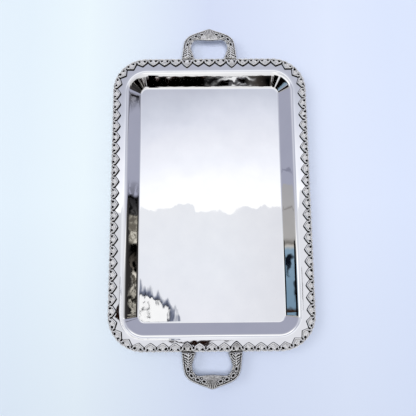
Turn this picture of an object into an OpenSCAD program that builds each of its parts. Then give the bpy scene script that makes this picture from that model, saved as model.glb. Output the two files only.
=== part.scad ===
// Serving tray: a pressed sheet pan with a sloped well, a cast shell border laid round its
// flange in lengths, and two cast loop handles riveted through the flange at the short ends.
// Millimetres. X is the width, Y the length, Z up. The origin is under the middle of the pan,
// on the surface that the tray stands on.

/* [Tray] */
// Width over the cast border
tray_w = 356; // [340:1:380]
// Length over the cast border, without the handles
tray_l = 532; // [500:1:560]
// Corner radius of the border's outer edge
corner_r = 62; // [58:1:66]

/* [Pan] */
// Thickness of the sheet
sheet_t = 1.2; // [0.8:0.1:1.6]
// Depth from the top of the flange to the top of the floor
well_depth = 20.5; // [18:0.5:26]
// Slope of the wall, from the horizontal
wall_angle = 43; // [40:1:52]
// Radius of the hollow bend between the floor and the wall
floor_bend_r = 4; // [3:0.5:5]
// Radius of the rounded shoulder between the wall and the flange
shoulder_r = 12; // [10:0.5:13]
// Distance from the border's outer edge to the shoulder
flange_w = 22.7; // [21:0.1:24]
// Width of border that overhangs the sheet's own edge
edge_cover = 2; // [1.5:0.1:3]

/* [Border] */
// Depth of the border at the tip of each shell
shell_depth = 16; // [14:0.5:17]
// Depth of the border at the notch between two shells
notch_depth = 9; // [8:0.5:10]
// Thickness of the casting's base
border_t = 3; // [2.5:0.1:3.5]
// Height of the shell relief above the base
relief_t = 1.6; // [1:0.1:2]
// Depth of the small scallops along the outer edge
edge_scallop = 0.9; // [0.5:0.1:1.2]

/* [Handles] */
// Height of the handle's bow
bow_t = 6.6; // [6:0.1:8]
// How far the bow hangs below the top of the flange
bow_drop = 2.6; // [2:0.1:3.5]
// Amount by which the bow's top and bottom edges are eased
bow_ease = 1.5; // [1:0.1:2]
// Depth of the large shell at each foot
foot_depth = 18.5; // [17:0.5:19.5]

/* [Rivets] */
// Shank radius
rivet_r = 2; // [1.5:0.1:2.5]
// Head radius
rivet_head_r = 4.4; // [3.5:0.1:5]
// Head height
rivet_head_t = 1.5; // [1:0.1:2]
// Depth of the blind hole in the foot
rivet_depth = 3; // [2:0.1:3.2]
// Distance of the rivets from the border's outer edge
rivet_inset = 8; // [7:0.5:10]

/* [Hidden] */
$fn = 72;

SILVER = [0.86, 0.87, 0.9];
CASTING = [0.66, 0.65, 0.63];

// The centres of the four corners
half_end = tray_w / 2 - corner_r;
half_side = tray_l / 2 - corner_r;
flange_top = sheet_t + well_depth;

// The shells are spaced along a line in the middle of the border. A quarter of that line runs
// from the middle of a short end to the middle of a long side, and holds 19.5 shells.
mid_r = corner_r - shell_depth / 2;
corner_arc = mid_r * PI / 2;
QUARTER_SHELLS = 19.5;
pitch = (half_end + corner_arc + half_side) / QUARTER_SHELLS;

// Where the castings meet, counted in shells from the middle of a short end
CENTRE_END = 1.5;
FOOT_END = 2.5;
END_END = 5.5;
CORNER_END = 9.5;

// A point at arc length s along the border and depth d in from its outer edge
function rim_point(s, d) =
    s < half_end ? [s, tray_l / 2 - d]
    : s < half_end + corner_arc
    ? let (a = (s - half_end) / mid_r * 180 / PI)
      [half_end + (corner_r - d) * sin(a), half_side + (corner_r - d) * cos(a)]
    : [tray_w / 2 - d, half_side - (s - half_end - corner_arc)];

// How far along a shell a place is: 0 at its middle, 1 at either notch
function off_middle(k) = 2 * abs(k - floor(k + 0.5));

// Depth of the border's inner and outer edges, with k counted in shells
function inner_depth(k) =
    notch_depth + (shell_depth - notch_depth) * (1 - pow(off_middle(k), 1.25));
function outer_depth(k) = edge_scallop * (1 - abs(sin(360 * k)));

// A run of border from shell count a to shell count b
module border_outline(a, b, steps = 8) {
    n = round((b - a) * steps);
    ks = [for (i = [0:n]) a + (b - a) * i / n];
    polygon(concat(
        [for (k = ks) rim_point(k * pitch, inner_depth(k))],
        [for (i = [n:-1:0]) rim_point(ks[i] * pitch, outer_depth(ks[i]))]));
}

// The part of the border that hangs over the sheet's edge
module cover_outline(a, b, steps = 4) {
    n = round((b - a) * steps);
    ks = [for (i = [0:n]) a + (b - a) * i / n];
    polygon(concat(
        [for (k = ks) rim_point(k * pitch, edge_cover)],
        [for (i = [n:-1:0]) rim_point(ks[i] * pitch, edge_scallop)]));
}

// The raised fan on one shell, with its hinge near the outer edge and its rim near the tip
FAN_HINGE = 3.5;
FAN_HALF = 0.34;
module fan_outline(k) {
    fan_rim = shell_depth - 2;
    polygon(concat(
        [for (a = [0:15:180])
            rim_point((k + FAN_HALF * cos(a)) * pitch,
                      notch_depth - 2 + (fan_rim - notch_depth + 2) * sin(a))],
        [rim_point((k - 0.16) * pitch, FAN_HINGE), rim_point((k + 0.16) * pitch, FAN_HINGE)]));
}

module border_run(a, b) {
    color(CASTING) {
        translate([0, 0, flange_top])
            linear_extrude(border_t)
                border_outline(a, b);
        translate([0, 0, flange_top - sheet_t])
            linear_extrude(sheet_t)
                cover_outline(a, b);
        for (k = [ceil(a):floor(b)])
            translate([0, 0, flange_top])
                linear_extrude(border_t + relief_t)
                    fan_outline(k);
    }
}

// ---- Pan ----

// Points of one bend, about centre c, from angle a0 to angle a1
BEND_STEPS = 6;
function bend(c, r, a0, a1) =
    [for (i = [0:BEND_STEPS])
        let (a = a0 + (a1 - a0) * i / BEND_STEPS) [c[0] + r * cos(a), c[1] + r * sin(a)]];

// The sheet's section, with x measured outwards from the line through the corner centres
wall_len = (well_depth - (floor_bend_r + shoulder_r) * (1 - cos(wall_angle))) / sin(wall_angle);
well_run = (floor_bend_r + shoulder_r) * sin(wall_angle) + wall_len * cos(wall_angle);
shoulder_x = corner_r - flange_w;
floor_x = shoulder_x - well_run;
sheet_edge_x = corner_r - edge_cover;
module sheet_section() {
    low = [floor_x, sheet_t + floor_bend_r];
    high = [shoulder_x, flange_top - shoulder_r];
    polygon(concat(
        [[0, sheet_t]],
        bend(low, floor_bend_r, -90, wall_angle - 90),
        bend(high, shoulder_r, wall_angle + 90, 90),
        [[sheet_edge_x, flange_top], [sheet_edge_x, flange_top - sheet_t]],
        bend(high, shoulder_r - sheet_t, 90, wall_angle + 90),
        bend(low, floor_bend_r + sheet_t, wall_angle - 90, -90),
        [[0, 0]]));
}

module tray_pan() {
    color(SILVER)
        difference() {
            union() {
                translate([-half_end, -half_side, 0])
                    cube([2 * half_end, 2 * half_side, sheet_t]);
                for (mx = [0, 1], my = [0, 1])
                    mirror([mx, 0, 0])
                        mirror([0, my, 0])
                            translate([half_end, half_side, 0])
                                rotate_extrude(angle = 90)
                                    sheet_section();
                for (mx = [0, 1])
                    mirror([mx, 0, 0])
                        translate([half_end, half_side, 0])
                            rotate([90, 0, 0])
                                linear_extrude(2 * half_side)
                                    sheet_section();
                for (my = [0, 1])
                    mirror([0, my, 0])
                        translate([-half_end, half_side, 0])
                            rotate([90, 0, 90])
                                linear_extrude(2 * half_end)
                                    sheet_section();
            }
            at_rivets()
                translate([0, 0, flange_top - sheet_t - 1])
                    cylinder(r = rivet_r, h = sheet_t + 2);
        }
}

// ---- Handles ----

// Places across the bow, from its middle to its foot: the outer and the inner point of each,
// with x from the handle's middle and y out from the border's edge
STATIONS = [
    [[0, 60.5], [0, 36.5]],
    [[12, 56.8], [12, 37.1]],
    [[25, 52.2], [23, 37.6]],
    [[36.5, 47], [28, 35]],
    [[44.5, 39.5], [31.5, 29.5]],
    [[48.5, 29], [33.3, 22]],
    [[50, 17], [31, 13]],
    [[51, 8], [28.2, 6]],
    [[51.9, -1.5], [27, 0.6]]];
LAST_STATION = len(STATIONS) - 1;

// A smooth curve through the stations. side is 0 for the outer edge and 1 for the inner one.
function station(i, side) =
    i < 0 ? let (p = STATIONS[-i][side]) [-p[0], p[1]]
    : STATIONS[min(i, LAST_STATION)][side];
function smooth_point(t, side) =
    let (i = min(floor(t), LAST_STATION - 1), f = t - i,
         a = station(i - 1, side), b = station(i, side),
         c = station(i + 1, side), d = station(i + 2, side))
    0.5 * ((2 * b) + (c - a) * f + (2 * a - 5 * b + 4 * c - d) * f * f
           + (3 * b - a - 3 * c + d) * f * f * f);
function eased_point(t, side, ease) =
    let (p = smooth_point(t, side), q = smooth_point(t, 1 - side))
    p + (q - p) / norm(q - p) * ease;

// The bow's outline, with both edges drawn in by the ease
module bow_outline(ease, steps = 3) {
    ts = [for (i = [0:LAST_STATION * steps]) i / steps];
    last = len(ts) - 1;
    outer = [for (t = ts) eased_point(t, 0, ease)];
    inner = [for (t = ts) eased_point(t, 1, ease)];
    polygon(concat(
        [for (i = [last:-1:1]) [-outer[i][0], outer[i][1]]],
        outer,
        [for (i = [last:-1:0]) inner[i]],
        [for (i = [1:last]) [-inner[i][0], inner[i][1]]]));
}

// The large shell that ends each leg and lies on the flange
foot_x = (CENTRE_END + FOOT_END) / 2 * pitch;
FOOT_LAP = 5;
module foot_outline() {
    half = pitch / 2;
    polygon(concat(
        [[half, FOOT_LAP], [-half, FOOT_LAP]],
        [for (a = [180:15:360])
            [half * cos(a), -notch_depth + (foot_depth - notch_depth) * sin(a)]]));
}

// The ribbed fan in the middle of the bow
module bow_fan_outline() {
    polygon(concat([[-7, 39.5], [7, 39.5]],
                   [for (a = [15:15:165]) [13 * cos(a), 46 + 11.5 * sin(a)]]));
}

module handle() {
    bow_low = flange_top - bow_drop;
    color(CASTING)
        difference() {
            translate([0, tray_l / 2, 0]) {
                translate([0, 0, bow_low])
                    linear_extrude(bow_t)
                        bow_outline(bow_ease);
                translate([0, 0, bow_low + bow_ease])
                    linear_extrude(bow_t - 2 * bow_ease)
                        bow_outline(0);
                translate([0, 0, bow_low + bow_ease])
                    linear_extrude(bow_t - bow_ease + 0.6)
                        bow_fan_outline();
                for (x = [-foot_x, foot_x])
                    translate([x, 0, flange_top])
                        linear_extrude(border_t + relief_t)
                            foot_outline();
            }
            at_rivets()
                translate([0, 0, flange_top - 1])
                    cylinder(r = rivet_r, h = rivet_depth + 1);
        }
}

// ---- Rivets ----

module at_rivets() {
    for (x = [-foot_x, foot_x], y = [-1, 1])
        translate([x, y * (tray_l / 2 - rivet_inset), 0])
            children();
}

module handle_rivets() {
    color(SILVER)
        at_rivets() {
            translate([0, 0, flange_top - sheet_t - rivet_head_t])
                cylinder(r1 = rivet_head_r * 0.6, r2 = rivet_head_r, h = rivet_head_t);
            translate([0, 0, flange_top - sheet_t])
                cylinder(r = rivet_r, h = sheet_t + rivet_depth);
        }
}

// ---- Places ----

module on_right() children();
module on_left() mirror([1, 0, 0]) children();
module at_back() children();
module at_front() mirror([0, 1, 0]) children();

tray_pan();
at_back() on_right() border_run(END_END, CORNER_END);  // corner_border_back_right
at_back() on_left() border_run(END_END, CORNER_END);  // corner_border_back_left
at_front() on_right() border_run(END_END, CORNER_END);  // corner_border_front_right
at_front() on_left() border_run(END_END, CORNER_END);  // corner_border_front_left
at_back() on_right() border_run(CORNER_END, QUARTER_SHELLS);  // side_border_back_right
at_back() on_left() border_run(CORNER_END, QUARTER_SHELLS);  // side_border_back_left
at_front() on_right() border_run(CORNER_END, QUARTER_SHELLS);  // side_border_front_right
at_front() on_left() border_run(CORNER_END, QUARTER_SHELLS);  // side_border_front_left
at_back() on_right() border_run(FOOT_END, END_END);  // end_border_back_right
at_back() on_left() border_run(FOOT_END, END_END);  // end_border_back_left
at_front() on_right() border_run(FOOT_END, END_END);  // end_border_front_right
at_front() on_left() border_run(FOOT_END, END_END);  // end_border_front_left
at_back() border_run(-CENTRE_END, CENTRE_END);  // centre_border_back
at_front() border_run(-CENTRE_END, CENTRE_END);  // centre_border_front
at_back() handle();  // handle_back
at_front() handle();  // handle_front
handle_rivets();
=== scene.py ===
import math

import bpy
import numpy as np
from mathutils import Matrix, Vector


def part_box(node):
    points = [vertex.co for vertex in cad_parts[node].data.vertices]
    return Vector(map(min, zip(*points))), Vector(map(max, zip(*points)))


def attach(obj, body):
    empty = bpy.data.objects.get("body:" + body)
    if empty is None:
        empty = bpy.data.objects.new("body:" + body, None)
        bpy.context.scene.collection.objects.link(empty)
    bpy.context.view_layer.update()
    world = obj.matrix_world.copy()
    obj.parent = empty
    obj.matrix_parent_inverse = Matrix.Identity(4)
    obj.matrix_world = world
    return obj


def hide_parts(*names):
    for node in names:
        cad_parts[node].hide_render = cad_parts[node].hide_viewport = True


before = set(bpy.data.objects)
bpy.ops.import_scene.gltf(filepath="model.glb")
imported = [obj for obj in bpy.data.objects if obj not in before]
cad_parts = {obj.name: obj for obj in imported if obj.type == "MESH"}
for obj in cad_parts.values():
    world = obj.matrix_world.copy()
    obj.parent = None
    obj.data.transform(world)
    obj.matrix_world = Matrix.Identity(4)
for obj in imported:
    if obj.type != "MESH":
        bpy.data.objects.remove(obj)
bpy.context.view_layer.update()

# ---- Driving sizes ----
# Places come from the frame, in metres. Reliefs are worked out in millimetres.
MM = 0.001

pan_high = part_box("tray_pan")[1]
side_low, side_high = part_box("side_border_back_right")
end_low, end_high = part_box("centre_border_back")
handle_low, handle_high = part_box("handle_back")
rivet_low, rivet_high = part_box("handle_rivets")

HALF_W = side_high.x / MM                 # middle of the tray to the border's outer edge
HALF_L = end_high.y / MM
FLANGE_TOP = pan_high.z / MM
SHEET_BOTTOM = end_low.z / MM             # underside of the flange
SHEET_T = FLANGE_TOP - SHEET_BOTTOM
EDGE_COVER = HALF_W - pan_high.x / MM     # border that overhangs the sheet's own edge
SHELL_DEPTH = (side_high.x - side_low.x) / MM
RELIEF_TOP = (end_high.z - pan_high.z) / MM
BOW_LOW = handle_low.z / MM
BOW_TOP = handle_high.z / MM

CORNER_R = 62.0
NOTCH_DEPTH = 9.0
EDGE_SCALLOP = 0.9
WALL_ANGLE = math.radians(43)
FLOOR_BEND_R = 4.0
SHOULDER_R = 12.0
FLANGE_W = 22.7

HALF_END = HALF_W - CORNER_R              # corner centres
HALF_SIDE = HALF_L - CORNER_R
MID_R = CORNER_R - SHELL_DEPTH / 2
CORNER_ARC = MID_R * math.pi / 2
QUARTER_SHELLS = 19.5
PITCH = (HALF_END + CORNER_ARC + HALF_SIDE) / QUARTER_SHELLS

ACROSS = 52                               # points across a casting
ROWS_PER_SHELL = 64

# Where the castings meet, in shells from the middle of a short end
CENTRE_END, FOOT_END, END_END, CORNER_END = 1.5, 2.5, 5.5, 9.5


# ---- Small maths ----
def smooth_step(low, high, x):
    """0 up to low and 1 from high, with an easy curve between."""
    t = np.clip((x - low) / (high - low), 0, 1)
    return t * t * (3 - 2 * t)


def soft_max(a, b, soft=0.25):
    """The larger of two heights, with a fillet where they meet."""
    h = np.clip(0.5 + 0.5 * (a - b) / soft, 0, 1)
    return b + (a - b) * h + soft * h * (1 - h)


def ridge(distance, half_width):
    """A rounded ridge: 1 on its line and 0 at its sides."""
    return np.sqrt(np.clip(1 - (distance / half_width) ** 2, 0, 1))


def pit(distance, radius):
    """A flat-bottomed pit: 1 inside and 0 outside."""
    return np.exp(-(distance / radius) ** 4)


def segment_distance(x, y, start, end):
    """Distance from the straight line between two places."""
    (x0, y0), (x1, y1) = start, end
    dx, dy = x1 - x0, y1 - y0
    t = np.clip(((x - x0) * dx + (y - y0) * dy) / (dx * dx + dy * dy), 0, 1)
    return np.hypot(x - x0 - t * dx, y - y0 - t * dy)


def waves(x, y, scale, seed, count=5):
    """Smooth uneven height from a few long waves at set angles, about -1 to 1. scale is in millimetres."""
    draw = np.random.default_rng(seed)
    total = 0
    for _ in range(count):
        angle, length, phase = draw.uniform(0, math.pi), draw.uniform(0.7, 1.6), draw.uniform(0, 6.28)
        along = (x * math.cos(angle) + y * math.sin(angle)) / (scale * length)
        total = total + np.sin(2 * math.pi * along + phase)
    return total / count


def blurred(height, passes):
    """The height smoothed along both ways of its grid."""
    for _ in range(passes):
        padded = np.pad(height, 1, mode="edge")
        height = (padded[:-2, 1:-1] + padded[2:, 1:-1] + padded[1:-1, :-2] + padded[1:-1, 2:]
                  + 2 * padded[1:-1, 1:-1]) / 6
    return height


# ---- Mesh making ----
def add_mesh(name, points, faces, material, oxide_and_shade=None):
    """A smooth-shaded mesh object from points in millimetres. recess is a number per point for the material."""
    mesh = bpy.data.meshes.new(name)
    mesh.from_pydata((np.asarray(points) * MM).tolist(), [], faces)
    mesh.update()
    mesh.shade_smooth()
    if oxide_and_shade is not None:
        layer = mesh.attributes.new("oxide_and_shade", "FLOAT", "POINT")
        layer.data.foreach_set("value", np.asarray(oxide_and_shade, np.float32))
    mesh.materials.append(material)
    piece = bpy.data.objects.new(name, mesh)
    bpy.context.scene.collection.objects.link(piece)
    return piece


def tube_faces(rows, ring, flip):
    """Quads between neighbouring closed rings, with an end cap on the first and the last."""
    faces = []
    for i in range(rows - 1):
        for j in range(ring):
            k = (j + 1) % ring
            quad = (i * ring + j, i * ring + k, (i + 1) * ring + k, (i + 1) * ring + j)
            faces.append(quad[::-1] if flip else quad)
    first = tuple(range(ring))
    last = tuple((rows - 1) * ring + j for j in range(ring))
    faces.append(first if flip else first[::-1])
    faces.append(last[::-1] if flip else last)
    return faces


def add_piece(name, points, faces, material, nodes, oxide_and_shade=None):
    """A mesh that stands in for CAD nodes and rides with the tray."""
    piece = add_mesh(name, points, faces, material, oxide_and_shade)
    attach(piece, "root")
    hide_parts(*nodes)
    return piece


# ---- Materials ----
class Nodes:
    """Short names for making the nodes of a material or of the world."""

    def __init__(self, tree):
        self.tree = tree

    def add(self, kind, **inputs):
        node = self.tree.nodes.new(kind)
        for key, value in inputs.items():
            self.put(node.inputs[key.replace("_", " ")], value)
        return node

    def put(self, socket, value):
        if isinstance(value, bpy.types.NodeSocket):
            self.tree.links.new(value, socket)
        else:
            socket.default_value = value

    def math(self, operation, a, b=0.0, c=None, clamp=False):
        node = self.tree.nodes.new("ShaderNodeMath")
        node.operation, node.use_clamp = operation, clamp
        self.put(node.inputs[0], a)
        self.put(node.inputs[1], b)
        if c is not None:
            self.put(node.inputs[2], c)
        return node.outputs[0]

    def bent(self, where, scale, amount):
        """A place or direction, moved a little by noise."""
        noise = self.add("ShaderNodeTexNoise", Vector=where, Scale=scale, Detail=2.0)
        shift = self.tree.nodes.new("ShaderNodeVectorMath")
        shift.operation = "MULTIPLY_ADD"
        self.put(shift.inputs[0], noise.outputs[1])
        shift.inputs[1].default_value = (amount, amount, amount)
        self.put(shift.inputs[2], where)
        back = self.tree.nodes.new("ShaderNodeVectorMath")
        back.operation = "SUBTRACT"
        self.put(back.inputs[0], shift.outputs[0])
        back.inputs[1].default_value = (amount / 2, amount / 2, amount / 2)
        return back.outputs[0]

    def streak(self, x, y, start, end, width_start, width_end, sharpness=900.0):
        """1 inside a tapering stroke between two places and 0 outside."""
        (x0, y0), (x1, y1) = start, end
        dx, dy = x1 - x0, y1 - y0
        length = dx * dx + dy * dy
        past_x, past_y = self.math("SUBTRACT", x, x0), self.math("SUBTRACT", y, y0)
        t = self.math("MULTIPLY", past_y, dy / length)
        t = self.math("MULTIPLY_ADD", past_x, dx / length, t, clamp=True)
        off_x = self.math("MULTIPLY_ADD", t, -dx, past_x)
        off_y = self.math("MULTIPLY_ADD", t, -dy, past_y)
        away = self.math("SQRT", self.math("MULTIPLY_ADD", off_x, off_x, self.math("MULTIPLY", off_y, off_y)))
        width = self.math("MULTIPLY_ADD", t, width_end - width_start, width_start)
        return self.math("MULTIPLY", self.math("SUBTRACT", width, away), sharpness, clamp=True)

    def ramp(self, value, *stops):
        """A colour ramp from stops of place and colour, or place and grey level."""
        node = self.tree.nodes.new("ShaderNodeValToRGB")
        elements = node.color_ramp.elements
        while len(elements) < len(stops):
            elements.new(0.5)
        for element, (place, colour) in zip(elements, stops):
            element.position = place
            element.color = (*colour, 1) if hasattr(colour, "__len__") else (colour, colour, colour, 1)
        self.put(node.inputs[0], value)
        return node.outputs[0]

    def noise(self, where, scale, detail=3.0, roughness=0.5):
        node = self.add("ShaderNodeTexNoise", Vector=where, Scale=scale, Detail=detail, Roughness=roughness)
        return node.outputs[0]

    def mix(self, factor, a, b):
        node = self.tree.nodes.new("ShaderNodeMix")
        node.data_type = "RGBA"
        self.put(node.inputs[0], factor)
        self.put(node.inputs[6], a)
        self.put(node.inputs[7], b)
        return node.outputs[2]


def new_material(name):
    """A material, its nodes and its shader."""
    material = bpy.data.materials.new(name)
    material.use_nodes = True
    tree = material.node_tree
    return material, Nodes(tree), tree.nodes["Principled BSDF"]


def polished_plate():
    """Silver plate polished to a mirror, with faint smudges and hairline scratches."""
    material, n, shader = new_material("polished_plate")
    where = n.add("ShaderNodeTexCoord").outputs["Object"]
    smudge = n.noise(where, 28.0, 4.0)
    hair = n.add("ShaderNodeMapping", Vector=where, Scale=(900.0, 60.0, 900.0)).outputs[0]
    scratch = n.noise(hair, 1.0, 2.0)
    n.put(shader.inputs["Base Color"], n.ramp(smudge, (0.3, (0.90, 0.905, 0.92)), (0.7, (0.94, 0.942, 0.95))))
    shader.inputs["Metallic"].default_value = 1.0
    n.put(shader.inputs["Roughness"], n.ramp(smudge, (0.35, 0.006), (0.75, 0.03)))
    bump = n.add("ShaderNodeBump", Strength=0.006, Distance=0.0001, Height=scratch)
    n.put(shader.inputs["Normal"], bump.outputs[0])
    return material


def satin_underside():
    """The underside of the pan: the same plate, only rubbed down, with soft handling marks."""
    material, n, shader = new_material("satin_underside")
    where = n.add("ShaderNodeTexCoord").outputs["Object"]
    blotch = n.noise(where, 16.0, 4.0)
    grain = n.add("ShaderNodeMapping", Vector=where, Scale=(1500.0, 90.0, 1500.0)).outputs[0]
    brushed = n.noise(grain, 1.0, 2.0)
    n.put(shader.inputs["Base Color"], n.ramp(blotch, (0.3, (0.74, 0.74, 0.75)), (0.75, (0.84, 0.84, 0.85))))
    shader.inputs["Metallic"].default_value = 1.0
    n.put(shader.inputs["Roughness"], n.ramp(blotch, (0.3, 0.24), (0.75, 0.38)))
    bump = n.add("ShaderNodeBump", Strength=0.15, Distance=0.0002, Height=brushed)
    n.put(shader.inputs["Normal"], bump.outputs[0])
    return material


def antique_casting():
    """Silver-plated casting: bright worn high edges and dark oxide left in the hollows, with painted shade in
    the dark step along the border's inner outline and over the whole front handle.
    """
    material, n, shader = new_material("antique_casting")
    where = n.add("ShaderNodeTexCoord").outputs["Object"]
    # The attribute read here holds oxide in the hollows, plus painted shade in the border's dark step and on
    # the front handle.
    attribute = n.tree.nodes.new("ShaderNodeAttribute")
    attribute.attribute_name = "oxide_and_shade"
    oxide_and_shade = attribute.outputs["Fac"]
    patch = n.noise(where, 160.0, 4.0, 0.6)
    speck = n.noise(where, 520.0, 2.0, 0.5)
    grain = n.noise(where, 1400.0, 3.0, 0.6)
    uneven = n.math("MULTIPLY_ADD", n.math("SUBTRACT", patch, 0.5), 0.4, oxide_and_shade)
    uneven = n.math("MULTIPLY_ADD", n.math("SUBTRACT", speck, 0.5), 0.4, uneven)
    uneven = n.math("MULTIPLY_ADD", n.math("SUBTRACT", grain, 0.5), 0.25, uneven)
    n.put(shader.inputs["Base Color"], n.ramp(
        uneven, (0.0, (1.0, 1.0, 1.0)), (0.3, (0.88, 0.875, 0.865)), (0.5, (0.42, 0.41, 0.4)),
        (0.75, (0.02, 0.018, 0.016))))
    shader.inputs["Metallic"].default_value = 1.0
    n.put(shader.inputs["Roughness"], n.math("MULTIPLY_ADD", uneven, 0.4, 0.14, clamp=True))
    bump = n.add("ShaderNodeBump", Strength=0.4, Distance=0.0003, Height=grain)
    n.put(shader.inputs["Normal"], bump.outputs[0])
    return material


def rivet_metal():
    """Plain rivet heads with dull spots, and a fine bump from the same spots."""
    material, n, shader = new_material("rivet_metal")
    where = n.add("ShaderNodeTexCoord").outputs["Object"]
    spots = n.noise(where, 500.0, 3.0)
    n.put(shader.inputs["Base Color"], n.ramp(spots, (0.3, (0.5, 0.5, 0.5)), (0.7, (0.72, 0.72, 0.72))))
    shader.inputs["Metallic"].default_value = 1.0
    n.put(shader.inputs["Roughness"], n.ramp(spots, (0.3, 0.25), (0.7, 0.45)))
    bump = n.add("ShaderNodeBump", Strength=0.3, Distance=0.0002, Height=spots)
    n.put(shader.inputs["Normal"], bump.outputs[0])
    return material


# ---- Pan ----
def arc(centre, radius, start, end, steps):
    return [(centre[0] + radius * math.cos(a), centre[1] + radius * math.sin(a))
            for a in np.linspace(start, end, steps + 1)]


def pan_profile():
    """The sheet's section from the line through the corner centres outwards, over the top to the edge and
    back underneath: distance out and height."""
    bends = FLOOR_BEND_R + SHOULDER_R
    wall = (FLANGE_TOP - SHEET_T - bends * (1 - math.cos(WALL_ANGLE))) / math.sin(WALL_ANGLE)
    run = bends * math.sin(WALL_ANGLE) + wall * math.cos(WALL_ANGLE)
    shoulder = CORNER_R - FLANGE_W
    low = (shoulder - run, SHEET_T + FLOOR_BEND_R)
    high = (shoulder, FLANGE_TOP - SHOULDER_R)
    up, quarter = WALL_ANGLE, math.pi / 2
    edge = CORNER_R - EDGE_COVER

    def between(a, b, steps):
        return [tuple(p) for p in np.linspace(a, b, steps + 1)[1:-1]]

    bend_in = arc(low, FLOOR_BEND_R, -quarter, up - quarter, 7)
    bend_out = arc(high, SHOULDER_R, up + quarter, quarter, 12)
    under_out = arc(high, SHOULDER_R - SHEET_T, quarter, up + quarter, 12)
    under_in = arc(low, FLOOR_BEND_R + SHEET_T, up - quarter, -quarter, 7)
    top = [(3.0, SHEET_T), (7.0, SHEET_T), (low[0] - 1.2, SHEET_T)]
    top += bend_in + between(bend_in[-1], bend_out[0], 8) + bend_out
    top += between(bend_out[-1], (edge - 0.3, FLANGE_TOP), 6) + [(edge - 0.3, FLANGE_TOP)]
    turn = [(edge, FLANGE_TOP - 0.3), (edge, SHEET_BOTTOM + 0.3)]
    under = [(edge - 0.3, SHEET_BOTTOM)] + between((edge - 0.3, SHEET_BOTTOM), under_out[0], 6) + under_out
    under += between(under_out[-1], under_in[0], 8) + under_in + [(7.0, 0.0), (3.0, 0.0)]
    return top, turn + under


def pan_loop(r, end_steps, side_steps, corner_steps):
    """Plan points of a rounded rectangle whose corners have radius r about the corner centres, anticlockwise
    from the front right corner's lower end. Straight runs don't repeat the corners' points."""
    points = []
    corners = ((HALF_END, -HALF_SIDE, -90), (HALF_END, HALF_SIDE, 0), (-HALF_END, HALF_SIDE, 90),
               (-HALF_END, -HALF_SIDE, 180))
    ends = []
    for cx, cy, start in corners:
        angles = np.radians(np.linspace(start, start + 90, corner_steps + 1))
        ends.append([(cx + r * math.cos(a), cy + r * math.sin(a)) for a in angles])
    for i, corner in enumerate(ends):
        points += corner
        steps = side_steps if i % 2 == 0 else end_steps
        following = ends[(i + 1) % 4][0]
        points += [tuple(p) for p in np.linspace(corner[-1], following, steps + 1)[1:-1]]
    return np.array(points)


def floor_grid(z, end_steps, side_steps):
    """Even points over the rectangle between the corner centres."""
    xs = np.linspace(-HALF_END, HALF_END, end_steps + 1)
    ys = np.linspace(-HALF_SIDE, HALF_SIDE, side_steps + 1)
    gx, gy = np.meshgrid(xs, ys)
    return np.stack([gx, gy, np.full_like(gx, z)], -1).reshape(-1, 3)


def pressed_waviness(points):
    """The slight unevenness of pressed and polished sheet, in millimetres of height."""
    x, y = points.T[:2]
    return 0.045 * waves(x, y, 95, 3) + 0.014 * waves(x, y, 38, 8) + 0.006 * waves(x, y, 17, 4, 7)


def make_pan(plate, underside):
    """The pressed sheet as one closed skin: a floor grid and rings above, and the same below."""
    end_steps, side_steps, corner_steps = 58, 102, 14
    top, rest = pan_profile()
    rings = top + rest
    loop_len = 4 * (corner_steps + 1) + 2 * (end_steps - 1) + 2 * (side_steps - 1)
    grid_len = (end_steps + 1) * (side_steps + 1)
    points, faces = [floor_grid(SHEET_T, end_steps, side_steps)], []
    for r, z in rings:
        loop = pan_loop(r, end_steps, side_steps, corner_steps)
        points.append(np.column_stack([loop, np.full(len(loop), z)]))
    points.append(floor_grid(0.0, end_steps, side_steps))
    points = np.concatenate(points)
    under_start = grid_len + loop_len * len(rings)

    def grid_faces(start, flip):
        for j in range(side_steps):
            for i in range(end_steps):
                a = start + j * (end_steps + 1) + i
                quad = (a, a + 1, a + end_steps + 2, a + end_steps + 1)
                faces.append(quad[::-1] if flip else quad)

    def grid_border(start):
        """The grid's outermost points in the loops' order, with a corner's point repeated for its whole fan."""
        at = lambda i, j: start + j * (end_steps + 1) + i
        order = [at(end_steps, 0)] * (corner_steps + 1)
        order += [at(end_steps, j) for j in range(1, side_steps)]
        order += [at(end_steps, side_steps)] * (corner_steps + 1)
        order += [at(i, side_steps) for i in range(end_steps - 1, 0, -1)]
        order += [at(0, side_steps)] * (corner_steps + 1)
        order += [at(0, j) for j in range(side_steps - 1, 0, -1)]
        order += [at(0, 0)] * (corner_steps + 1)
        order += [at(i, 0) for i in range(1, end_steps)]
        return order

    def join(inner, outer):
        """Faces between two loops, with triangles where a corner's point is repeated."""
        for i in range(loop_len):
            j = (i + 1) % loop_len
            face = [inner[i], outer[i], outer[j], inner[j]]
            if face[0] == face[3]:
                face = face[:3]
            if face[1] == face[2]:
                face = [face[0], face[1], face[3]]
            faces.append(tuple(face))

    grid_faces(0, False)
    loops = [list(range(grid_len + i * loop_len, grid_len + (i + 1) * loop_len)) for i in range(len(rings))]
    join(grid_border(0), loops[0])
    for inner, outer in zip(loops, loops[1:]):
        join(inner, outer)
    top_faces = len(faces) - loop_len * len(rest)
    join(loops[-1], grid_border(under_start))
    grid_faces(under_start, True)
    waviness = pressed_waviness(points)
    settled = smooth_step(0.0, 0.5, points[:, 2]) * smooth_step(HALF_W - 3, HALF_W - 16, np.abs(points[:, 0]))
    settled = settled * smooth_step(HALF_L - 3, HALF_L - 16, np.abs(points[:, 1]))
    points[:, 2] += waviness * settled
    pan = add_piece("pan", points, faces, plate, ["tray_pan"])
    pan.data.materials.append(underside)
    for face in pan.data.polygons[top_faces:]:
        face.material_index = 1
    return pan


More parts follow.
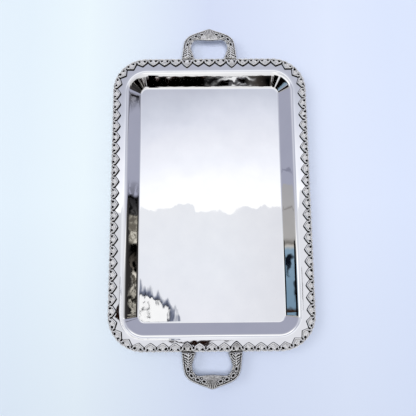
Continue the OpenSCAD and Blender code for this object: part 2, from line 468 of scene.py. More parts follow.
# ---- Cast border ----
def rim_point(s, d):
    """Plan place at arc length s along the border and depth d in from its outer edge, back right quarter."""
    angle = np.clip((s - HALF_END) / MID_R, 0, math.pi / 2)
    past = np.maximum(s - HALF_END - CORNER_ARC, 0)
    x = np.minimum(s, HALF_END) + (CORNER_R - d) * np.sin(angle)
    y = HALF_SIDE + (CORNER_R - d) * np.cos(angle) - past
    return x, y


def from_middle(k):
    """Place along a shell, in shells from its middle."""
    return k - np.round(k)


def inner_depth(k):
    """How far in the border's inner outline lies: deepest at a shell's tip."""
    return NOTCH_DEPTH + (SHELL_DEPTH - NOTCH_DEPTH) * (1 - np.abs(2 * from_middle(k)) ** 1.25)


def outer_depth(k):
    """How far in the border's outer outline lies, with two shallow scallops to a shell."""
    return EDGE_SCALLOP * (1 - np.abs(np.sin(2 * math.pi * k)) ** 1.6)


def shell_relief(a, d, edge, outer, line=1.5):
    """Height of one shell of the border, in millimetres, and how dark it is made, 0 to 1, at a
    along from its middle, d in from the border's edge, and edge and outer in from its own two outlines: dark
    oxide packed into the hollows, and the dark step along the inner outline, which is partly oxide in the
    crevice and partly painted shade and reflection of the casting's undercut edge. line is the width of that
    dark step."""
    a = np.abs(a)
    half, base = PITCH / 2, 1.5
    out = np.hypot(a, d - 2.4)
    angle = np.arctan2(a, d - 2.4)
    rib = ridge(np.mod(angle / math.radians(15) + 0.5, 1) - 0.5, 0.56)
    in_fan = smooth_step(2.7, 3.5, edge) * smooth_step(1.1, 0.95, angle)
    domed = 0.1 + 0.9 * smooth_step(0.6, 3.6, out) * smooth_step(2.2, 5.0, edge)
    domed = domed + 0.55 * rib * smooth_step(1, 3, out)
    height = base + domed * in_fan
    height = soft_max(height, base + 1.4 * ridge(edge - line - 0.85, 1.05))
    height = soft_max(height, base + 1.2 * ridge(outer - 0.9, 1.0))
    height = soft_max(height, base + 2.0 * ridge(np.hypot(a, d - 3.0), 1.7))
    height = soft_max(height, base + 2.0 * ridge(np.hypot(a - 5.0, d - 5.0) - 2.45, 1.0))
    height = soft_max(height, base + 1.2 * ridge(segment_distance(a, d, (7.7, 7.2), (9.0, 4.6)), 0.9))
    height = soft_max(height, base + 1.8 * ridge(np.hypot(a - half, d - 2.4), 1.6))
    height = soft_max(height, base + 1.5 * ridge(np.hypot(a - 8.9, d - 4.3), 1.1))
    packed = pit(np.hypot(a - 5.0, d - 5.0), 1.75)
    packed = np.maximum(packed, in_fan * (0.06 + 0.26 * (1 - rib) * smooth_step(3, 5, out)))
    packed = np.maximum(packed, pit(segment_distance(a, d, (half, 6.2), (half, 8.0)), 1.25))
    packed = np.maximum(packed, 0.7 * pit(np.hypot(a - 7.3, d - 3.2), 0.7))
    height = height - (height - 0.5) * packed
    # The dark step along the inner outline, lowered to 0.4 mm and made fully dark: partly oxide in the crevice,
    # partly painted shade and reflection of the casting's undercut edge.
    oxide_and_shade_step = smooth_step(line + 0.15, line - 0.15, edge)
    height = height - (height - 0.4) * oxide_and_shade_step
    return height, np.maximum(packed, oxide_and_shade_step)


def border_relief(k, d, side_x, side_y):
    """Relief of the border, shell after shell. The dark step is widest on edges that face the front: painted
    shade and reflection of the casting's shaded side.
    """
    slope = (inner_depth(k + 0.01) - inner_depth(k - 0.01)) / (0.02 * PITCH)
    angle = np.clip((k * PITCH - HALF_END) / MID_R, 0, math.pi / 2)
    face_x = (-np.sin(angle) - slope * np.cos(angle)) * side_x
    face_y = (-np.cos(angle) + slope * np.sin(angle)) * side_y
    # How much the edge faces the front: it widens the dark step there, as painted shade.
    shade_by_facing = (0.3 * face_x - 0.95 * face_y) / np.hypot(face_x, face_y)
    # No two shells are cast quite alike
    seed = int(20 + side_x + 2 * side_y)
    loose = 1.5 * (1 - np.abs(2 * from_middle(k)) ** 4)
    a = from_middle(k) * PITCH + loose * waves(k * PITCH, d, 14, seed)
    deep = d + loose * waves(k * PITCH, d, 16, seed + 10)
    return shell_relief(a, deep, (inner_depth(k) - d) * 0.8, d - outer_depth(k), 1.4 + 0.7 * shade_by_facing)


def tone_of(height, packed):
    """How dark the metal is: 0 on proud edges, about 0.3 on plain places, 1 in pits."""
    hollow = blurred(height, 12) - height
    return np.clip(0.25 + 0.5 * hollow, 0, 0.7) * (1 - packed) + packed


def make_border_run(name, first, last, side_x, side_y, casting):
    """One length of border, in shells from first to last: rings across it, closed at both ends."""
    rows = int(round((last - first) * ROWS_PER_SHELL)) + 1
    k = np.linspace(first, last, rows)[:, None]
    v = 0.5 - 0.5 * np.cos(math.pi * (0.06 + 0.94 * np.linspace(0, 1, ACROSS)))
    v = ((v - v[0]) / (v[-1] - v[0]))[None, :]
    outside, inside = outer_depth(k), inner_depth(k)
    d = outside + (inside - outside) * v
    height, packed = border_relief(k + 0 * d, d, side_x, side_y)
    height += 0.05 * waves(k * PITCH + 0 * d, d, 2.3, 5, 7)
    tone = tone_of(height, packed)
    round_out = np.sqrt(np.clip(1 - (1 - np.clip((d - outside) / 0.6, 0, 1)) ** 2, 0, 1))
    height = 0.3 + (height - 0.3) * round_out
    height = np.minimum(height, RELIEF_TOP - 0.03)

    def column(depth, z):
        x, y = rim_point(k * PITCH, depth)
        return np.stack([x + 0 * depth, y + 0 * depth, np.full_like(x + 0 * depth, z)], -1)

    x, y = rim_point(k * PITCH + 0 * d, d)
    top = np.stack([x, y, FLANGE_TOP + height], -1)
    under = EDGE_COVER + 0 * k
    ring = np.concatenate([
        column(under, FLANGE_TOP), column(under, SHEET_BOTTOM), column(outside + 0.35, SHEET_BOTTOM),
        column(outside, SHEET_BOTTOM + 0.4), top, column(inside, FLANGE_TOP)], 1)
    # Sides and underside 0.35; the point at the foot of the inner edge is near black (0.9), darkening the
    # step's riser with the dark step: partly oxide, partly painted shade.
    oxide_and_shade = np.concatenate([np.full((rows, 4), 0.35), tone, np.full((rows, 1), 0.9)], 1)
    count = ring.shape[1]
    points = ring.reshape(-1, 3) * (side_x, side_y, 1)
    faces = tube_faces(rows, count, side_x * side_y > 0)
    return add_piece(name + "_cast", points, faces, casting, [name], oxide_and_shade.ravel())


# ---- Handles ----
# Places across the bow, from its middle to the foot: the outer point and the inner point, with x from the
# handle's middle and y out from the border's edge.
FOOT_X = (CENTRE_END + FOOT_END) / 2 * PITCH
FOOT_HALF = PITCH / 2
FOOT_REACH = 9.5
STATIONS = np.array([
    [[0, 60.5], [0, 36.5]],
    [[12, 56.8], [12, 37.1]],
    [[25, 52.2], [23, 37.6]],
    [[36.5, 47], [28, 35]],
    [[44.5, 39.5], [31.5, 29.5]],
    [[48.5, 29], [33.3, 22]],
    [[50, 17], [31, 13]],
    [[51, 8], [28.2, 6]],
    [[51.9, -1.5], [27, 0.6]]])

# The eyelets along the bow: middle, and the way each one lies
EYELETS = (((13.7, 47.5), (1, -0.3)), ((24.3, 44.3), (1, -0.4)),
           ((35, 38), (1, -1.1)), ((40.4, 27.5), (0.25, -1)))


def smooth_station(t):
    """The outer and the inner point at place t, on a smooth curve through the stations."""
    last = len(STATIONS) - 1
    mirrored = STATIONS[1] * (-1, 1)
    table = np.concatenate([[mirrored], STATIONS, [STATIONS[last]]])
    i = np.minimum(np.floor(t).astype(int), last - 1)
    f = (t - i)[:, None, None]
    a, b, c, d = (table[i + n] for n in range(4))
    return 0.5 * (2 * b + (c - a) * f + (2 * a - 5 * b + 4 * c - d) * f ** 2 + (3 * b - a - 3 * c + d) * f ** 3)


def foot_depth(a):
    """How far in the foot's tip reaches, at a from its middle."""
    return NOTCH_DEPTH + FOOT_REACH * (1 - (np.minimum(np.abs(a), FOOT_HALF) / FOOT_HALF) ** 1.35)


def half_outline():
    """Outer and inner points from the bow's middle to the tip of the foot."""
    bow = smooth_station(np.linspace(0, len(STATIONS) - 1, 150))
    neck = np.array([[[51.9, -1.9], [29.3, 0.35]], [[51.9, -2.4], [30.9, -0.5]], [[51.88, -3.4], [31.12, -2.4]],
                     [[51.88, -5.0], [31.12, -4.6]], [[51.88, -7.0], [31.12, -6.9]]])
    wide = FOOT_HALF * np.cos(np.linspace(0, math.radians(88), 34))
    deep = -foot_depth(wide)
    foot = np.stack([np.stack([FOOT_X + wide, deep], -1), np.stack([FOOT_X - wide, deep], -1)], 1)
    return np.concatenate([bow, neck, foot])


def across_eyelet(x, y, eyelet):
    """Distance from an oval eyelet's middle, as if the oval were a circle."""
    (cx, cy), (tx, ty) = eyelet
    length = math.hypot(tx, ty)
    along = ((x - cx) * tx + (y - cy) * ty) / length
    aside = ((x - cx) * -ty + (y - cy) * tx) / length
    return np.hypot(along / 1.55, aside)


def bow_relief(x, y, v, width):
    """Relief of the handle above its domed body, in millimetres, and how much dark oxide is packed in."""
    x, soft = np.abs(x), 0.15
    edge = (1 - np.abs(v)) * width / 2
    cord = 1.1 * ridge(edge - 1.5, 1.1)
    height = np.where(v < 0, cord, 0.7 * cord)
    groove = pit(np.abs(edge - 3.2), 0.55) * (v < 0) * smooth_step(2, 8, y) * smooth_step(6, 10, x)
    # Centre fan
    out, angle = np.hypot(x, y - 38.4), np.arctan2(x, y - 38.4)
    rib = ridge(np.mod(angle / math.radians(11) + 0.5, 1) - 0.5, 0.5)
    reach = 20.3 * np.cos(angle * 0.85) + 0.9 * ridge(np.mod(angle / math.radians(11) + 0.5, 1) - 0.5, 0.6)
    inside = smooth_step(0, 1.0, reach - out) * smooth_step(0.86, 0.78, np.abs(angle))
    height = soft_max(height, inside * (0.2 + 0.9 * rib * smooth_step(1.5, 5, out)), soft)
    height = soft_max(height, 1.5 * ridge(np.hypot(x * 0.8, y - 40.0), 2.2), soft)
    valley = inside * (0.14 + 0.4 * (1 - rib) * smooth_step(3, 8, out))
    # Eyelets with rings, and scrolls between them
    packed = np.maximum(0.6 * groove, valley)
    for eyelet in EYELETS:
        reach = across_eyelet(x, y, eyelet)
        height = soft_max(height, 1.5 * ridge(reach - 2.5, 0.9), soft)
        packed = np.maximum(packed, pit(reach, 1.75))
    for (c0, _), (c1, _) in zip(EYELETS, EYELETS[1:]):
        middle = ((c0[0] + c1[0]) / 2, (c0[1] + c1[1]) / 2)
        across = np.array([c0[1] - c1[1], c1[0] - c0[0]], float)
        across = across / np.hypot(*across) * 3.6
        for lean in (-1, 1):
            place = np.hypot(x - middle[0] - across[0] * lean, y - middle[1] - across[1] * lean)
            height = soft_max(height, 1.6 * ridge(place, 1.5), soft)
            packed = np.maximum(packed, 0.7 * pit(np.abs(place - 1.9), 0.35))
    # Leaf down each leg
    leaf = smooth_step(24, 20, y) * smooth_step(0.5, 3, y)
    off = x - (FOOT_X - 1.4 + 0.05 * (y - 10))
    slant = np.mod((y + 0.8 * np.abs(off) + 2.4 * waves(x, y, 15, 31)) / 4.4, 1) - 0.5
    vein, blade = ridge(slant, 0.4), ridge(off / (width * 0.42), 1.0)
    height = soft_max(height, leaf * (0.2 + 1.2 * vein * blade), soft)
    height = soft_max(height, leaf * 1.7 * ridge(off, 1.0), soft)
    packed = np.maximum(packed, 0.6 * leaf * (1 - vein) * blade * smooth_step(0.9, 1.6, np.abs(off)))
    for place in ((32.2, 4.0), (48.6, 3.6)):
        curl = np.hypot(x - place[0], y - place[1])
        height = soft_max(height, 1.7 * ridge(curl - 2.3, 0.95), soft)
        packed = np.maximum(packed, pit(curl, 1.3))
    # Line across the leg where it reaches the tray
    step = np.exp(-((y + 0.2) / 0.6) ** 2) * (np.abs(x - FOOT_X) < 9)
    packed = np.maximum(packed * smooth_step(-1.5, 0, y), 0.2 * step)
    height = height * smooth_step(-1.5, 0, y) - 0.4 * step
    return height, packed


def foot_relief(x, y):
    """Relief of the shell that the foot ends in, above the flange, and how dark it is made: its oxide, and its
    dark step, which is partly painted shade.
    """
    a, d = np.abs(x) - FOOT_X, -y
    edge = np.minimum((foot_depth(a) - d) * 0.8, np.where(d > 5, FOOT_HALF - np.abs(a), 9))
    height, packed = shell_relief(a, d * 0.92, edge, d + 2)
    return height, packed


def make_handle(name, side_y, casting):
    """One casting from foot to foot: rings across the bow, in order from the left foot's tip to the right's."""
    right = half_outline()
    left = right[:0:-1] * (-1, 1)
    outline = np.concatenate([left, right])
    outer, inner = outline[:, 0], outline[:, 1]
    rows = len(outline)
    v = np.sin(math.pi / 2 * np.linspace(-1, 1, ACROSS))[None, :]
    middle, half = (outer + inner) / 2, (inner - outer) / 2
    plan = middle[:, None, :] + half[:, None, :] * v[..., None]
    width = (2 * np.hypot(half[:, 0], half[:, 1]))[:, None]
    on_flange = smooth_step(-1.3, -1.9, middle[:, 1])[:, None]
    low = BOW_LOW + (FLANGE_TOP - BOW_LOW) * on_flange
    side_top = low + 2.5 + (0.8 - 2.5) * smooth_step(1.5, -2.5, middle[:, 1])[:, None]
    body = 2.5 + (1.5 - 2.5) * smooth_step(1.5, -2.5, middle[:, 1])[:, None]
    x, y = plan[..., 0], plan[..., 1]
    relief, packed = bow_relief(x, y, v, width)
    shell, shell_packed = foot_relief(x, y)
    on_foot = smooth_step(-1.6, -2.4, y)
    packed = packed * (1 - on_foot) + shell_packed * on_foot
    dome = np.clip(1 - np.abs(v) ** 2.6, 0, 1) ** 0.5
    fade = smooth_step(0, 0.9, (1 - np.abs(v)) * width / 2)
    z = side_top + body * dome + (relief - 1.6 * packed) * fade
    z = z + (FLANGE_TOP + 0.4 + shell * 0.95 - z) * on_foot + 0.05 * waves(x, y, 2.6, 6, 7)
    # The front handle (side_y -1) gets a tone 0.1 darker than the back one: painted shade, for the dark front
    # of the room that it mirrors.
    tone = 0.21 - 0.05 * side_y + 0.8 * tone_of(z, packed)
    z = np.minimum(z, BOW_TOP - 0.03)
    top = np.stack([x, y, z], -1)

    def column(across, height):
        place = middle + half * across
        return np.stack([place[:, 0], place[:, 1], (height + 0 * low)[:, 0]], -1)[:, None]

    depth = side_top - low
    ring = np.concatenate([
        column(0.0, low), column(-0.9, low), column(-0.975, low + 0.12 * depth),
        column(-1.0, low + 0.45 * depth), top, column(1.0, low + 0.45 * depth),
        column(0.975, low + 0.12 * depth), column(0.9, low)], 1)
    oxide_and_shade = np.concatenate([np.full((rows, 4), 0.4), tone, np.full((rows, 3), 0.4)], 1)
    points = ring.reshape(-1, 3)
    points[:, 1] = (points[:, 1] + HALF_L) * side_y
    faces = tube_faces(rows, ring.shape[1], side_y < 0)
    return add_piece(name + "_cast", points, faces, casting, [name], oxide_and_shade.ravel())


# ---- Rivets ----
SHANK_R, SHANK_LONG = 2.0, 4.1


def make_rivets(metal):
    """Four domed heads under the flange, each a lathe shape on a short shank."""
    head_low, head_top = rivet_low.z / MM, SHEET_BOTTOM
    head_r = rivet_high.x / MM - FOOT_X
    place_y = rivet_high.y / MM - head_r
    tall = head_top - head_low
    profile = [(head_r * math.cos(a), head_top - 0.25 - (tall - 0.25) * math.sin(a))
               for a in np.linspace(math.radians(86), 0, 14)]
    profile += [(head_r * 0.985, head_top - 0.08), (head_r * 0.93, head_top)]
    profile += [(SHANK_R, head_top), (SHANK_R, head_top + SHANK_LONG)]
    steps = 40
    points, faces = [], []
    for sx in (-1, 1):
        for sy in (-1, 1):
            start = len(points)
            for r, z in profile:
                for i in range(steps):
                    a = 2 * math.pi * i / steps
                    points.append((sx * FOOT_X + r * math.cos(a), sy * place_y + r * math.sin(a), z))
            for i in range(len(profile) - 1):
                for j in range(steps):
                    k = (j + 1) % steps
                    a = start + i * steps
                    faces.append((a + j, a + k, a + steps + k, a + steps + j))
            faces.append(tuple(start + j for j in range(steps))[::-1])
            faces.append(tuple(start + (len(profile) - 1) * steps + j for j in range(steps)))
    return add_piece("rivet_heads", points, faces, metal, ["handle_rivets"])


# ---- The object ----
plate, underside = polished_plate(), satin_underside()
casting, rivets = antique_casting(), rivet_metal()

make_pan(plate, underside)
for end_name, side_y in (("back", 1), ("front", -1)):
    make_border_run("centre_border_" + end_name, -CENTRE_END, CENTRE_END, 1, side_y, casting)
    make_handle("handle_" + end_name, side_y, casting)
    for side_name, side_x in (("right", 1), ("left", -1)):
        place = end_name + "_" + side_name
        make_border_run("end_border_" + place, FOOT_END, END_END, side_x, side_y, casting)
        make_border_run("corner_border_" + place, END_END, CORNER_END, side_x, side_y, casting)
        make_border_run("side_border_" + place, CORNER_END, QUARTER_SHELLS, side_x, side_y, casting)
make_rivets(rivets)


# ---- Floor, light and camera ----
def make_floor():
    """A pale lavender-white sweep: cyan-white at the left, darkest lavender in the middle under the tray,
    lighter at the right, and darker towards the front; the lighter left is painted light, and the darker middle
    and front are painted shade.
    """
    material, n, shader = new_material("pale_floor")
    where = n.add("ShaderNodeTexCoord").outputs["Object"]
    place = n.add("ShaderNodeSeparateXYZ", Vector=where)
    # Painted light and shade across the floor: cyan-white at the left, darkest lavender in the middle, lighter
    # at the right.
    across = n.math("MULTIPLY_ADD", place.outputs[0], 1.3, 0.5)
    tone = n.ramp(across, (0.05, (0.79, 0.885, 0.95)), (0.2, (0.84, 0.93, 0.96)), (0.5, (0.675, 0.735, 0.90)),
                  (0.8, (0.755, 0.82, 0.965)), (0.95, (0.725, 0.797, 0.963)))
    # Painted shade: darker towards the front.
    front = n.math("MULTIPLY_ADD", place.outputs[1], -0.9, 0.0, clamp=True)
    n.put(shader.inputs["Base Color"], n.mix(front, tone, (0.52, 0.59, 0.72, 1)))
    shader.inputs["Roughness"].default_value = 0.9
    half, z = 6000.0, -0.2
    points = [(-half, -half, z), (half, -half, z), (half, half, z), (-half, half, z)]
    floor = add_mesh("floor", points, [(0, 1, 2, 3)], material)


def shown(red, green, blue):
    """The light that a screen shows as this colour."""
    return tuple((c / 255) ** 2.2 for c in (red, green, blue))


def paint(red, green, blue):
    """The same with an alpha, for a socket."""
    return (*shown(red, green, blue), 1)


LAVENDER = 163, 165, 183
SIDE_SPAN = 24.0            # degrees behind straight left and straight right that hold things to mirror


class Room:
    """What the metal mirrors, by direction: way, or ragged, which is the same a little torn. degrees goes from
    straight right towards the back, and turn goes once round, from straight left by way of the front."""

    def __init__(self, nodes):
        n = self.n = nodes
        self.way = n.add("ShaderNodeTexCoord").outputs["Generated"]
        self.x, self.y, self.z = n.add("ShaderNodeSeparateXYZ", Vector=self.way).outputs
        self.ragged = n.bent(n.bent(self.way, 26.0, 0.03), 90.0, 0.012)
        self.rx, self.ry, self.rz = n.add("ShaderNodeSeparateXYZ", Vector=self.ragged).outputs
        self.degrees = n.math("MULTIPLY", n.math("ARCTAN2", self.ry, self.rx), 180 / math.pi)
        self.turn = n.math("MULTIPLY_ADD", self.degrees, 1 / 360, 0.5)
        self.ripple = n.math("SUBTRACT", n.noise(self.way, 90.0, 3.0, 0.6), 0.5)

    def shades(self, value, *stops):
        """A colour ramp from stops of a place and the red, green and blue that a screen shows."""
        return self.n.ramp(value, *((place, shown(*levels)) for place, *levels in stops))

    def stretched(self, where, scale, detail, roughness=0.5):
        """Noise with its grain drawn out along an axis."""
        place = self.n.add("ShaderNodeMapping", Vector=where, Scale=scale).outputs[0]
        return self.n.noise(place, 1.0, detail, roughness)

    def ceiling(self):
        """Overhead: a bright front half, a stepped edge, and behind it white that falls off to lavender."""
        n, x, y = self.n, self.x, self.y
        # How far the direction leans towards the back
        square = n.math("MULTIPLY", x, x)
        sideways = n.math("MINIMUM", n.math("MULTIPLY", n.math("MULTIPLY", square, square), 60.0), 0.15)
        lean = n.math("ADD", sideways, n.math("MULTIPLY_ADD", x, -0.08, y))
        wobble = n.math("SUBTRACT", n.noise(self.way, 9.0, 4.0, 0.6), 0.5)
        lean = n.math("MULTIPLY_ADD", wobble, 0.06, lean)
        back_half = self.shades(n.math("MULTIPLY", lean, 2.0), (0.42, 268, 268, 268), (0.5, 264, 265, 268),
                                (0.56, 252, 254, 262), (0.63, 241, 243, 252), (0.69, 228, 231, 243),
                                (0.75, 208, 212, 225), (0.82, 190, 193, 207), (0.88, 180, 183, 198))
        front_half = self.shades(n.math("MULTIPLY_ADD", y, 2.0, 0.5), (0.0, 262, 262, 262),
                                 (0.3, 226, 227, 233), (0.46, 224, 225, 231), (0.51, 240, 241, 248),
                                 (0.72, 239, 242, 249), (0.92, 240, 242, 247))
        left_part = n.math("MULTIPLY_ADD", x, -60.0, -7.2, clamp=True)
        right_part = n.math("MULTIPLY_ADD", x, 9.0, -0.2, clamp=True)
        front_half = n.mix(left_part, front_half, paint(218, 220, 226))
        front_half = n.mix(right_part, front_half, paint(230, 231, 237))
        step = n.ramp(n.math("MULTIPLY_ADD", x, 3.0, 0.5), (0.08, 0.15), (0.179, 0.39), (0.23, 0.27),
                      (0.371, 0.47), (0.431, 0.56), (0.446, 0.52), (0.452, 0.23), (0.62, 0.19), (0.656, 0.31),
                      (0.791, 0.31), (0.821, 0.23), (0.896, 0.25), (0.971, 0.79))
        edge = n.math("MULTIPLY_ADD", step, 0.04, 0.19)
        past_edge = n.math("MULTIPLY", n.math("SUBTRACT", self.ry, edge), 700.0, clamp=True)
        return n.mix(past_edge, front_half, back_half)

    def hung_things(self, colour):
        """Near the ceiling's middle: a white fan with a dark fringe, thin rings across it, and dark streaks."""
        n, x, y = self.n, self.x, self.y
        from_corner = n.math("SQRT", n.math("ADD", n.math("POWER", n.math("ADD", x, 0.115), 2.0),
                                            n.math("POWER", n.math("SUBTRACT", y, 0.003), 2.0)))
        folds = self.stretched(self.way, (150.0, 40.0, 1.0), 2.0)
        from_corner = n.math("MULTIPLY_ADD", n.math("SUBTRACT", folds, 0.5), 0.035, from_corner)
        fan = self.shades(n.math("MULTIPLY", from_corner, 10.0), (0.58, 255, 255, 255), (0.6, 44, 48, 60),
                          (0.66, 120, 126, 145), (0.74, 226, 228, 234))
        in_fan = n.math("MULTIPLY", n.math("GREATER_THAN", x, -0.113), n.math("GREATER_THAN", y, 0.004))
        in_fan = n.math("MULTIPLY", in_fan, n.math("LESS_THAN", from_corner, 0.074))
        colour = n.mix(in_fan, colour, fan)
        rings = n.ramp(n.noise(self.way, 120.0, 1.0), (0.43, 0.0), (0.445, 1.0), (0.5, 1.0), (0.515, 0.0))
        near = n.streak(x, y, (-0.1, 0.045), (-0.1, 0.022), 0.006, 0.009)
        colour = n.mix(n.math("MULTIPLY", rings, near), colour, paint(30, 34, 44))
        for start, end, width_start, width_end in (
                ((-0.127, 0.084), (-0.135, 0.052), 0.003, 0.005),
                ((-0.135, 0.052), (-0.137, 0.03), 0.005, 0.008),
                ((-0.137, 0.03), (-0.125, 0.012), 0.008, 0.003),
                ((0.146, 0.094), (0.142, 0.066), 0.003, 0.0065),
                ((0.142, 0.066), (0.138, 0.036), 0.0065, 0.003),
                ((-0.08, -0.0075), (-0.02, -0.0125), 0.0012, 0.0035),
                ((-0.02, -0.0125), (0.045, -0.0115), 0.0035, 0.002)):
            streak = n.streak(self.rx, self.ry, start, end, width_start, width_end)
            colour = n.mix(streak, colour, paint(34, 22, 18))
        return colour

    def low_right(self):
        """Low down on the right and behind: cream and dark things mottled together, and then lavender."""
        n = self.n
        place = n.math("DIVIDE", self.degrees, SIDE_SPAN)
        mottle = n.ramp(self.stretched(self.ragged, (70.0, 90.0, 230.0), 3.0, 0.65), (0.47, 0.0), (0.57, 1.0))
        dark = self.shades(place, (0.0, 30, 28, 26), (0.15, 8, 8, 8), (0.19, 14, 13, 12), (0.2, 90, 86, 78),
                           (0.23, 90, 86, 78), (0.245, 8, 8, 8), (0.348, 0, 0, 0), (0.356, 120, 115, 104),
                           (0.455, 95, 90, 84), (0.47, 24, 24, 26), (0.55, 10, 10, 10), (0.57, 118, 119, 132),
                           (0.62, *LAVENDER), (0.89, *LAVENDER), (0.93, 26, 26, 28), (0.985, 20, 20, 22),
                           (1.0, *LAVENDER))
        light = self.shades(place, (0.0, 196, 192, 180), (0.16, 172, 167, 156), (0.19, 222, 216, 204),
                            (0.23, 222, 216, 204), (0.25, 112, 106, 98), (0.3, 60, 56, 52), (0.315, 4, 4, 4),
                            (0.348, 4, 4, 4), (0.356, 232, 227, 214), (0.455, 172, 167, 154),
                            (0.47, 80, 79, 80), (0.55, 30, 30, 34), (0.565, 168, 170, 190), (0.62, *LAVENDER),
                            (0.89, *LAVENDER), (0.93, 140, 140, 150), (0.985, 120, 120, 130),
                            (1.0, *LAVENDER))
        colour = n.mix(mottle, dark, light)
        shadow = n.math("MULTIPLY", n.ramp(self.rz, (0.1915, 0.0), (0.193, 1.0)),
                        n.math("LESS_THAN", self.degrees, 12.8))
        return n.mix(shadow, colour, paint(50, 48, 48))

    def low_left(self):
        """Low down on the left and behind: dark things, a blue-green panel, grey ones, and then lavender."""
        n = self.n
        place = n.math("DIVIDE", n.math("SUBTRACT", 180.0, self.degrees), SIDE_SPAN)
        colour = self.shades(place, (0.0, 120, 114, 110), (0.03, 110, 92, 76), (0.05, 44, 32, 24),
                             (0.095, 56, 42, 32), (0.105, 118, 146, 168), (0.32, 134, 160, 180),
                             (0.335, 196, 192, 186), (0.35, 120, 116, 112), (0.38, 172, 170, 168),
                             (0.485, 170, 168, 168), (0.491, 128, 124, 122), (0.497, 172, 171, 172),
                             (0.585, 168, 167, 170), (0.592, *LAVENDER), (0.644, *LAVENDER),
                             (0.65, 122, 123, 142), (0.656, *LAVENDER))
        mark = n.streak(place, self.rz, (0.215, 0.205), (0.3, 0.2025), 0.002, 0.009, 400.0)
        return n.mix(mark, colour, paint(22, 26, 34))

    def low_front(self):
        """Low down in front, once round from straight left to straight right."""
        return self.shades(self.turn, (0.0, 140, 138, 142), (0.012, 158, 160, 176), (0.02, 118, 146, 166),
                           (0.105, 134, 160, 180), (0.11, 4, 4, 4), (0.14, 4, 4, 4), (0.15, 225, 225, 228),
                           (0.175, 240, 240, 242), (0.19, 3, 3, 3), (0.272, 3, 3, 3), (0.3, 150, 150, 156),
                           (0.42, 130, 128, 126), (0.432, 10, 9, 8), (0.5, 14, 12, 10))

    def bright_ring(self):
        """Half way up all round: white, with greyer stretches."""
        return self.shades(self.turn, (0.0, 275, 275, 275), (0.5, 200, 200, 202), (0.526, 206, 206, 208),
                           (0.531, 266, 266, 266), (0.535, 266, 266, 266), (0.54, 200, 202, 214),
                           (0.62, 200, 202, 214), (0.68, 270, 270, 270), (0.82, 270, 270, 270),
                           (0.88, 206, 208, 220), (0.96, 206, 208, 220), (0.966, 275, 275, 275))

    def frames(self, colour):
        """A dark upright beside the blue-green panel, and a dark beam over its front part."""
        n, shade = self.n, paint(14, 11, 10)
        upright = n.ramp(self.rz, (0.2165, 0.0), (0.219, 1.0), (0.38, 1.0), (0.44, 0.0))
        colour = n.mix(n.math("MULTIPLY", n.math("GREATER_THAN", self.turn, 0.9757), upright), colour, shade)
        beam = n.ramp(n.math("MULTIPLY_ADD", self.ripple, 0.12, self.rz), (0.39, 0.0), (0.395, 1.0),
                      (0.5, 1.0), (0.56, 0.0))
        return n.mix(n.math("MULTIPLY", n.math("LESS_THAN", self.turn, 0.14), beam), colour, shade)

    def front_band(self, colour, ring):
        """The dark band in front, with light strokes, a brown torn upper edge and the bright ring above it."""
        n, turn = self.n, self.turn
        strokes = self.stretched(self.ragged, (34.0, 34.0, 190.0), 2.0)
        few = self.shades(strokes, (0.72, 3, 3, 3), (0.75, 210, 206, 200))
        many = self.shades(strokes, (0.43, 5, 5, 5), (0.5, 110, 110, 114), (0.55, 245, 245, 246))
        fans = self.shades(self.stretched(self.ragged, (9.0, 9.0, 3.0), 2.0), (0.57, 3, 3, 3),
                           (0.6, 110, 106, 102), (0.63, 225, 222, 216))
        corner = self.shades(turn, (0.2625, 120, 118, 116), (0.266, 48, 42, 38), (0.268, 4, 4, 4))
        band = n.mix(n.ramp(turn, (0.2535, 0.0), (0.2555, 1.0)), few, many)
        band = n.mix(n.ramp(turn, (0.262, 0.0), (0.264, 1.0)), band, corner)
        band = n.mix(n.ramp(turn, (0.29, 0.0), (0.32, 1.0)), band, fans)
        torn = n.math("MULTIPLY_ADD", self.ripple, 0.08, self.z)
        torn = n.math("MULTIPLY_ADD", n.math("LESS_THAN", turn, 0.2365), -0.04, torn)
        band = n.mix(n.ramp(torn, (0.4765, 0.0), (0.479, 0.9)), band, paint(70, 34, 22))
        in_front = n.math("MULTIPLY", n.math("GREATER_THAN", turn, 0.17), n.math("LESS_THAN", turn, 0.5))
        colour = n.mix(n.math("MULTIPLY", in_front, n.ramp(self.z, (0.36, 0.0), (0.39, 1.0))), colour, band)
        return n.mix(n.math("MULTIPLY", in_front, n.ramp(torn, (0.481, 0.0), (0.4825, 1.0))), colour, ring)

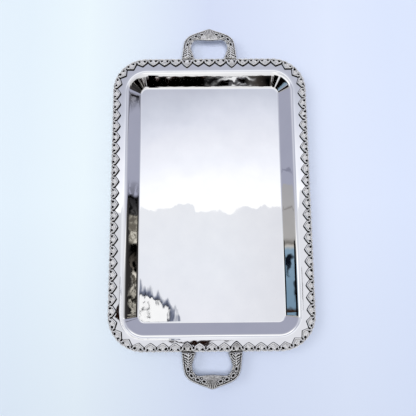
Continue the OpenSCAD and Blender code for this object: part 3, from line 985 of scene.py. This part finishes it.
    def colour(self):
        """All of the room: the low parts, the ring above them, the band in front, and the ceiling."""
        n = self.n
        behind = n.mix(n.math("GREATER_THAN", self.rx, 0.0), self.low_left(), self.low_right())
        colour = n.mix(n.math("GREATER_THAN", self.ry, 0.0), self.low_front(), behind)
        ring = self.bright_ring()
        colour = n.mix(n.ramp(self.z, (0.22, 0.0), (0.38, 0.06), (0.54, 0.22), (0.66, 1.0)), colour, ring)
        colour = self.front_band(self.frames(colour), ring)
        overhead = self.hung_things(self.ceiling())
        return n.mix(n.ramp(self.z, (0.82, 0.0), (0.885, 1.0)), colour, overhead)


def make_world():
    """The room as the metal mirrors it, an even dim light for everything else, and a pale backdrop."""
    world = bpy.data.worlds.new("studio")
    world.use_nodes = True
    bpy.context.scene.world = world
    n = Nodes(world.node_tree)
    background = world.node_tree.nodes["Background"]
    rays = n.add("ShaderNodeLightPath").outputs
    colour = n.mix(rays["Is Diffuse Ray"], Room(n).colour(), (0.3, 0.31, 0.34, 1))
    n.put(background.inputs["Color"], n.mix(rays["Is Camera Ray"], colour, paint(214, 222, 245)))


def make_lights():
    """Soft studio light that the metal doesn't mirror: a broad one overhead and a weaker one from the left."""
    for name, energy, spread, way in (("overhead", 1.75, 32, (0.02, 0.14, -1.0)),
                                      ("left", 0.6, 34, (0.8, -0.1, -1.0))):
        data = bpy.data.lights.new(name, "SUN")
        data.energy, data.angle = energy, math.radians(spread)
        light = bpy.data.objects.new(name, data)
        light.visible_glossy = False
        light.rotation_euler = Vector(way).to_track_quat("-Z", "Y").to_euler()
        bpy.context.scene.collection.objects.link(light)


def make_camera():
    """From just in front of straight overhead, where the photo was taken."""
    data = bpy.data.cameras.new("camera")
    sensor, focal_length, picture_width = 36.0, 600, 416
    data.sensor_width = sensor
    data.lens = sensor * focal_length / picture_width
    data.clip_start, data.clip_end = 0.01, 100
    camera = bpy.data.objects.new("camera", data)
    bpy.context.scene.collection.objects.link(camera)
    place, aim, roll = Vector((-10.6, -234.1, 1060.8)) * MM, Vector((-4.8, -18.6, 25.0)) * MM, math.radians(0.5)
    back = (place - aim).normalized()
    up = (Vector((0, 1, 0)) - back * back.y).normalized()
    right = up.cross(back)
    turned_up = up * math.cos(roll) + right * math.sin(roll)
    turned_right = right * math.cos(roll) - up * math.sin(roll)
    turn = Matrix((turned_right, turned_up, back)).transposed()
    camera.matrix_world = Matrix.Translation(place) @ turn.to_4x4()
    bpy.context.scene.camera = camera


make_floor()
make_world()
make_lights()
make_camera()
bpy.context.scene.view_settings.view_transform = "Standard"
